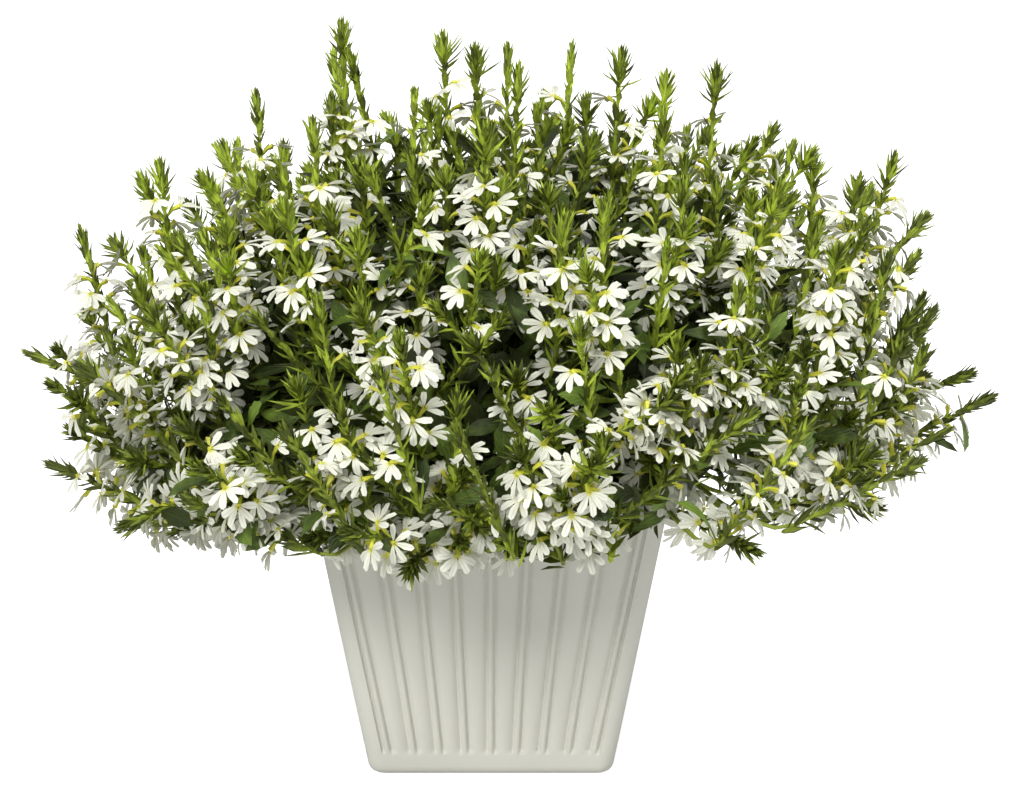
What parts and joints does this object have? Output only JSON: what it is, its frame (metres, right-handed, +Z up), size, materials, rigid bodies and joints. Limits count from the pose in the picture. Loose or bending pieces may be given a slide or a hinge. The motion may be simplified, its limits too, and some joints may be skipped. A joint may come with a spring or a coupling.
{
  "type": "potted fan flower",
  "caption": "Dense mound of upright leafy shoots with white fan-shaped flowers, growing in a square tapered pot with reeded walls and drain holes.",
  "frame": {"origin": "middle of the pot's flat underside, where it stands", "axes": "+Z up, -Y towards the front of the picture, +X to its right, along the mound's longest extent"},
  "size_m": [0.5283, 0.4867, 0.4007],
  "materials": {
    "pot": "matte",
    "soil": "matte",
    "foliage": "satin",
    "petals": "satin"
  },
  "bodies": {
    "root": {"pot": "pot", "soil": "soil", "branch_01": "foliage", "branch_02": "foliage", "branch_03": "foliage", "branch_04": "foliage", "branch_05": "foliage", "branch_06": "foliage", "branch_07": "foliage", "branch_08": "foliage", "branch_09": "foliage", "blooms_01": "petals", "blooms_02": "petals", "blooms_03": "petals", "blooms_04": "petals", "blooms_05": "petals", "blooms_06": "petals", "blooms_07": "petals", "blooms_08": "petals", "blooms_09": "petals", "blooms_10": "petals", "blooms_11": "petals", "blooms_12": "petals", "blooms_13": "petals", "blooms_14": "petals", "blooms_15": "petals", "blooms_16": "petals", "blooms_17": "petals", "blooms_18": "petals", "blooms_19": "petals", "blooms_20": "petals", "blooms_21": "petals", "blooms_22": "petals", "blooms_23": "petals", "blooms_24": "petals", "blooms_25": "petals", "blooms_26": "petals", "blooms_27": "petals", "blooms_28": "petals", "blooms_29": "petals", "blooms_30": "petals", "blooms_31": "petals", "blooms_32": "petals", "blooms_33": "petals", "blooms_34": "petals", "blooms_35": "petals", "blooms_36": "petals", "blooms_37": "petals", "blooms_38": "petals", "blooms_39": "petals", "blooms_40": "petals", "blooms_41": "petals", "blooms_42": "petals", "blooms_43": "petals", "blooms_44": "petals", "blooms_45": "petals", "blooms_46": "petals"}
  },
  "joints": []
}
